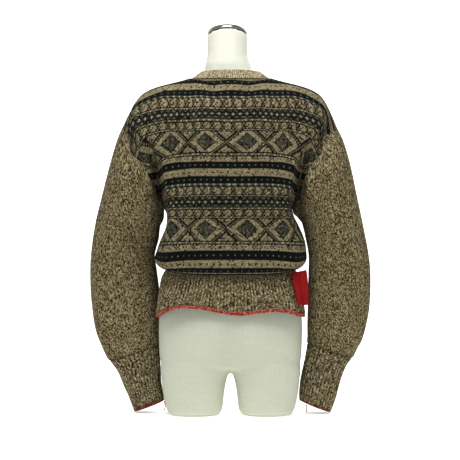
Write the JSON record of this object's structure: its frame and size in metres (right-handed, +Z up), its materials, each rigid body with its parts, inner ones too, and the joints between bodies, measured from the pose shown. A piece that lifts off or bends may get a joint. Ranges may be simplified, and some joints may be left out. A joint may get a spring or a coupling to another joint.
{
  "type": "fair isle cardigan on a dress form",
  "caption": "Knitted cardigan with a bloused fair isle body, balloon sleeves and ribbed hem, cuffs and bands, worn by a limbless linen dress form.",
  "frame": {"origin": "on the floor, under the middle of the whole from side to side and from front to back", "axes": "+Z up, -Y the way the front of the cardigan faces, +X the wearer's left"},
  "size_m": [0.6634, 0.2719, 0.9095],
  "materials": {
    "fair_isle_knit": "wool knit, dark and tan fair isle bands",
    "marl_knit": "wool knit, marled olive and tan",
    "marl_rib": "ribbed wool knit, marled olive and tan",
    "band_rib": "ribbed wool knit, pale tan marl",
    "red_overlock": "overlock thread, muted red",
    "red_tape": "woven tape, deep red",
    "buttons": "satin, dark brown",
    "linen": "fine woven linen cover, cream",
    "cap_metal": "polished metal dome"
  },
  "bodies": {
    "root": {"back": "fair_isle_knit", "front_left": "fair_isle_knit", "front_right": "fair_isle_knit", "sleeve_left": "marl_knit", "sleeve_right": "marl_knit", "cuff_left": "marl_rib", "cuff_right": "marl_rib", "hem_back": "marl_rib", "hem_front_left": "marl_rib", "hem_front_right": "marl_rib", "neck_band": "band_rib", "band_left": "band_rib", "band_right": "band_rib", "hem_edging": "red_overlock", "cuff_edging_left": "red_overlock", "cuff_edging_right": "red_overlock", "tail_left": "red_overlock", "tail_right": "red_overlock", "tail_tab": "red_overlock", "tape_tab": "red_tape", "button_1": "buttons", "button_2": "buttons", "button_3": "buttons", "button_4": "buttons", "button_5": "buttons", "button_6": "buttons", "dress_form": "linen", "neck_cap": "cap_metal"}
  },
  "joints": []
}
